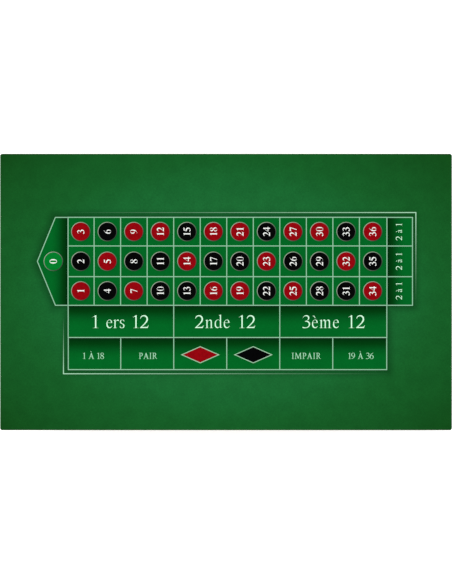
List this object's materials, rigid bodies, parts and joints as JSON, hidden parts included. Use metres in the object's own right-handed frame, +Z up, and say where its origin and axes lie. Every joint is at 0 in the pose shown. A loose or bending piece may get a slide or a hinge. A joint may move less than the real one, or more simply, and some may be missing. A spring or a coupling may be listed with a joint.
{
  "type": "roulette table",
  "caption": "Cloth-covered roulette betting table with a raised betting layout, a wooden apron, two inward-folding leg frames and levelling feet.",
  "frame": {"origin": "on the floor under the centre of the table top", "axes": "+X from the zero field to the high numbers, +Y away from the outside bets, +Z up"},
  "size_m": [1.334, 0.816, 0.7893],
  "materials": {
    "cloth_felt": "brushed wool felt, matt",
    "panel_felt": "printed wool felt, matt",
    "line_tape": "thin matt tape",
    "red_inlay": "satin",
    "black_inlay": "satin",
    "green_inlay": "satin",
    "inlay_rim": "pale satin edging",
    "plywood": "raw birch plywood",
    "foam": "open-cell foam",
    "stained_wood": "stained and satin lacquered",
    "beech": "planed and oiled",
    "zinc_steel": "zinc plated",
    "bolt_steel": "turned steel",
    "brass": "satin",
    "black_plastic": "moulded",
    "rubber": "matt"
  },
  "bodies": {
    "table": {"back_frame_line": "line_tape", "back_rail": "stained_wood", "black_diamond": "black_inlay", "black_discs": "black_inlay", "centre_batten": "beech", "column_lines": "line_tape", "column_panel": "panel_felt", "corner_blocks": "beech", "diamond_borders": "inlay_rim", "disc_rims": "inlay_rim", "dozen_lines": "line_tape", "dozen_panel": "panel_felt", "foam_underlay": "foam", "front_frame_line": "line_tape", "front_rail": "stained_wood", "left_batten": "beech", "left_rail": "stained_wood", "left_stop_rail": "beech", "number_lines": "line_tape", "number_panel": "panel_felt", "outside_lines": "line_tape", "outside_panel": "panel_felt", "pivot_bolts": "bolt_steel", "pivot_nuts": "zinc_steel", "pivot_plates": "zinc_steel", "playing_cloth": "cloth_felt", "red_diamond": "red_inlay", "red_discs": "red_inlay", "right_batten": "beech", "right_rail": "stained_wood", "right_stop_rail": "beech", "top_board": "plywood", "wood_screws": "zinc_steel", "zero_disc": "green_inlay", "zero_outline": "line_tape", "zero_panel": "panel_felt"},
    "left_leg_frame": {"left_front_leg": "stained_wood", "left_back_leg": "stained_wood", "left_upper_bar": "stained_wood", "left_stretcher": "stained_wood", "left_clamp_bolts": "bolt_steel", "left_ferrules": "brass"},
    "left_front_knob_body": {"left_front_knob": "black_plastic"},
    "left_front_foot_pad_body": {"left_front_foot_pad": "rubber"},
    "left_front_foot_stem_body": {"left_front_foot_stem": "bolt_steel"},
    "left_back_knob_body": {"left_back_knob": "black_plastic"},
    "left_back_foot_pad_body": {"left_back_foot_pad": "rubber"},
    "left_back_foot_stem_body": {"left_back_foot_stem": "bolt_steel"},
    "right_leg_frame": {"right_front_leg": "stained_wood", "right_back_leg": "stained_wood", "right_upper_bar": "stained_wood", "right_stretcher": "stained_wood", "right_clamp_bolts": "bolt_steel", "right_ferrules": "brass"},
    "right_front_knob_body": {"right_front_knob": "black_plastic"},
    "right_front_foot_pad_body": {"right_front_foot_pad": "rubber"},
    "right_front_foot_stem_body": {"right_front_foot_stem": "bolt_steel"},
    "right_back_knob_body": {"right_back_knob": "black_plastic"},
    "right_back_foot_pad_body": {"right_back_foot_pad": "rubber"},
    "right_back_foot_stem_body": {"right_back_foot_stem": "bolt_steel"}
  },
  "joints": [
    {"name": "left_leg_fold", "type": "hinge", "parent": "table", "child": "left_leg_frame", "pos_m": [-0.57, 0, 0.709], "axis": [0, -1, 0], "range_deg": [0, 90]},
    {"name": "left_front_knob_turn", "type": "hinge", "parent": "left_leg_frame", "child": "left_front_knob_body", "pos_m": [-0.57, -0.33, 0.675], "axis": [0, 1, 0], "range_deg": [0, 720]},
    {"name": "left_front_foot_pad_height", "type": "slide", "parent": "left_leg_frame", "child": "left_front_foot_pad_body", "axis": [0, 0, -1], "range_m": [0, 0.00499]},
    {"name": "left_front_foot_stem_turn", "type": "hinge", "parent": "left_front_foot_pad_body", "child": "left_front_foot_stem_body", "pos_m": [-0.57, -0.33, 0.012], "axis": [0, 0, -1], "range_deg": [0, 1440]},
    {"name": "left_back_knob_turn", "type": "hinge", "parent": "left_leg_frame", "child": "left_back_knob_body", "pos_m": [-0.57, 0.33, 0.675], "axis": [0, -1, 0], "range_deg": [0, 720]},
    {"name": "left_back_foot_pad_height", "type": "slide", "parent": "left_leg_frame", "child": "left_back_foot_pad_body", "axis": [0, 0, -1], "range_m": [0, 0.00499]},
    {"name": "left_back_foot_stem_turn", "type": "hinge", "parent": "left_back_foot_pad_body", "child": "left_back_foot_stem_body", "pos_m": [-0.57, 0.33, 0.012], "axis": [0, 0, -1], "range_deg": [0, 1440]},
    {"name": "right_leg_fold", "type": "hinge", "parent": "table", "child": "right_leg_frame", "pos_m": [0.57, 0, 0.709], "axis": [0, 1, 0], "range_deg": [0, 90]},
    {"name": "right_front_knob_turn", "type": "hinge", "parent": "right_leg_frame", "child": "right_front_knob_body", "pos_m": [0.57, -0.27, 0.675], "axis": [0, 1, 0], "range_deg": [0, 720]},
    {"name": "right_front_foot_pad_height", "type": "slide", "parent": "right_leg_frame", "child": "right_front_foot_pad_body", "axis": [0, 0, -1], "range_m": [0, 0.00499]},
    {"name": "right_front_foot_stem_turn", "type": "hinge", "parent": "right_front_foot_pad_body", "child": "right_front_foot_stem_body", "pos_m": [0.57, -0.27, 0.012], "axis": [0, 0, -1], "range_deg": [0, 1440]},
    {"name": "right_back_knob_turn", "type": "hinge", "parent": "right_leg_frame", "child": "right_back_knob_body", "pos_m": [0.57, 0.27, 0.675], "axis": [0, -1, 0], "range_deg": [0, 720]},
    {"name": "right_back_foot_pad_height", "type": "slide", "parent": "right_leg_frame", "child": "right_back_foot_pad_body", "axis": [0, 0, -1], "range_m": [0, 0.00499]},
    {"name": "right_back_foot_stem_turn", "type": "hinge", "parent": "right_back_foot_pad_body", "child": "right_back_foot_stem_body", "pos_m": [0.57, 0.27, 0.012], "axis": [0, 0, -1], "range_deg": [0, 1440]}
  ],
  "couplings": [
    {"joint": "left_front_foot_stem_turn", "follows": "left_front_foot_pad_height", "rad_per_m": 5026.5},
    {"joint": "left_back_foot_stem_turn", "follows": "left_back_foot_pad_height", "rad_per_m": 5026.5},
    {"joint": "right_front_foot_stem_turn", "follows": "right_front_foot_pad_height", "rad_per_m": 5026.5},
    {"joint": "right_back_foot_stem_turn", "follows": "right_back_foot_pad_height", "rad_per_m": 5026.5}
  ]
}
